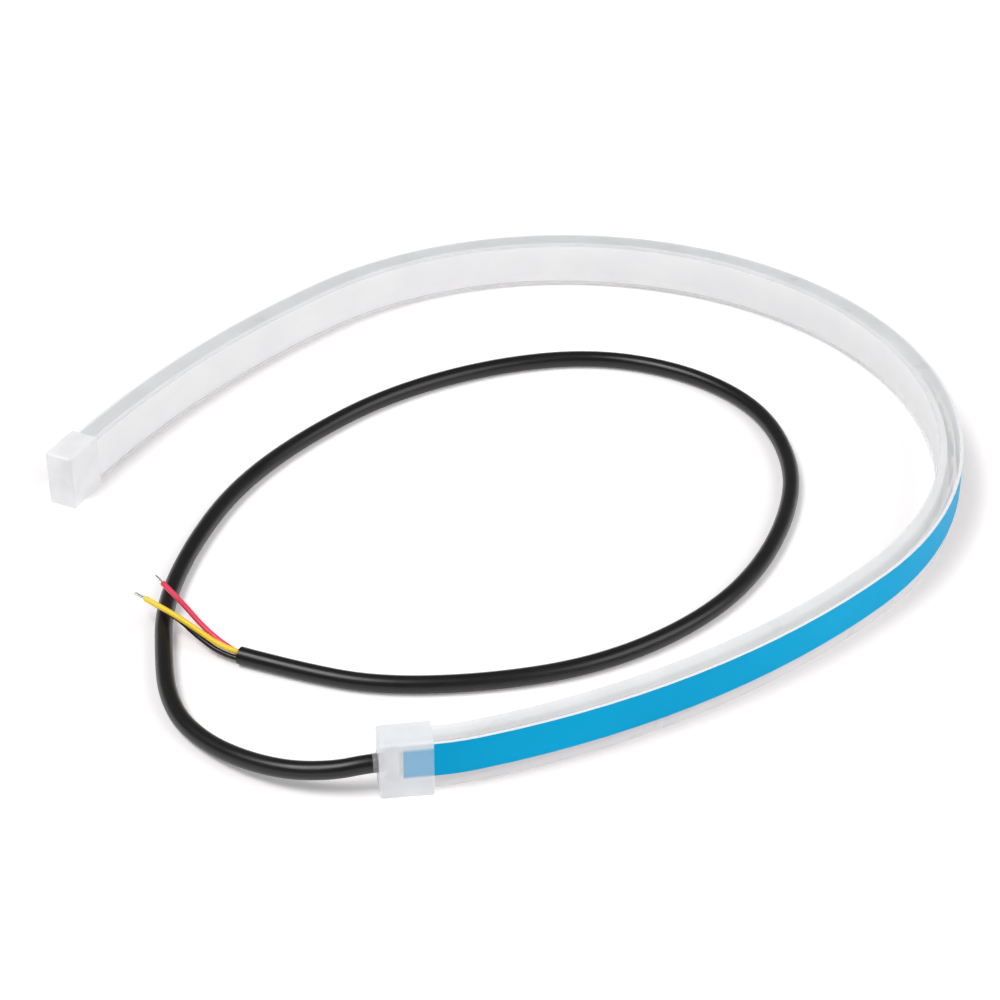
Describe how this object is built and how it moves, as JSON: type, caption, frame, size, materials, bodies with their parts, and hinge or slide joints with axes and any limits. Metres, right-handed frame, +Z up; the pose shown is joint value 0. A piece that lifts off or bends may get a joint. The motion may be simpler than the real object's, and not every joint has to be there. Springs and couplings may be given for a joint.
{
  "type": "daytime running light",
  "caption": "Flexible silicone strip light bent into a C on its edge, with an adhesive back under a liner, moulded end caps and a cable that ends in bare wires.",
  "frame": {"origin": "under the middle of the bent strip's box, on the surface that it stands on, with the cable left out", "axes": "+X to the right of someone who faces the liner at the cable-end cap, +Y away from that person, +Z up"},
  "size_m": [0.2614, 0.2626, 0.017],
  "materials": {
    "clear_silicone": "clear, satin",
    "milky_silicone": "milky, satin",
    "foam_tape": "matte foam",
    "blue_liner": "smooth film",
    "cap_silicone": "milky, satin",
    "sealant": "glossy",
    "board": "white solder mask",
    "white_lamp": "phosphor",
    "amber_lamp": "phosphor",
    "resistor": "glazed",
    "chip": "moulded",
    "tinned_copper": "tinned",
    "solder": "bright",
    "black_pvc": "satin",
    "red_pvc": "satin",
    "yellow_pvc": "satin"
  },
  "bodies": {
    "root": {"clear_channel": "clear_silicone", "milky_lens": "milky_silicone", "adhesive_tape": "foam_tape", "release_liner": "blue_liner", "cable_cap": "cap_silicone", "blind_cap": "cap_silicone", "cable_seal": "sealant", "led_board": "board", "white_leds": "white_lamp", "amber_leds": "amber_lamp", "resistors": "resistor", "driver_chips": "chip", "conductor_tails": "tinned_copper", "solder_joints": "solder", "cable_jacket": "black_pvc", "black_wire": "black_pvc", "red_wire": "red_pvc", "yellow_wire": "yellow_pvc", "black_wire_tip": "tinned_copper", "red_wire_tip": "tinned_copper", "yellow_wire_tip": "tinned_copper"}
  },
  "joints": []
}
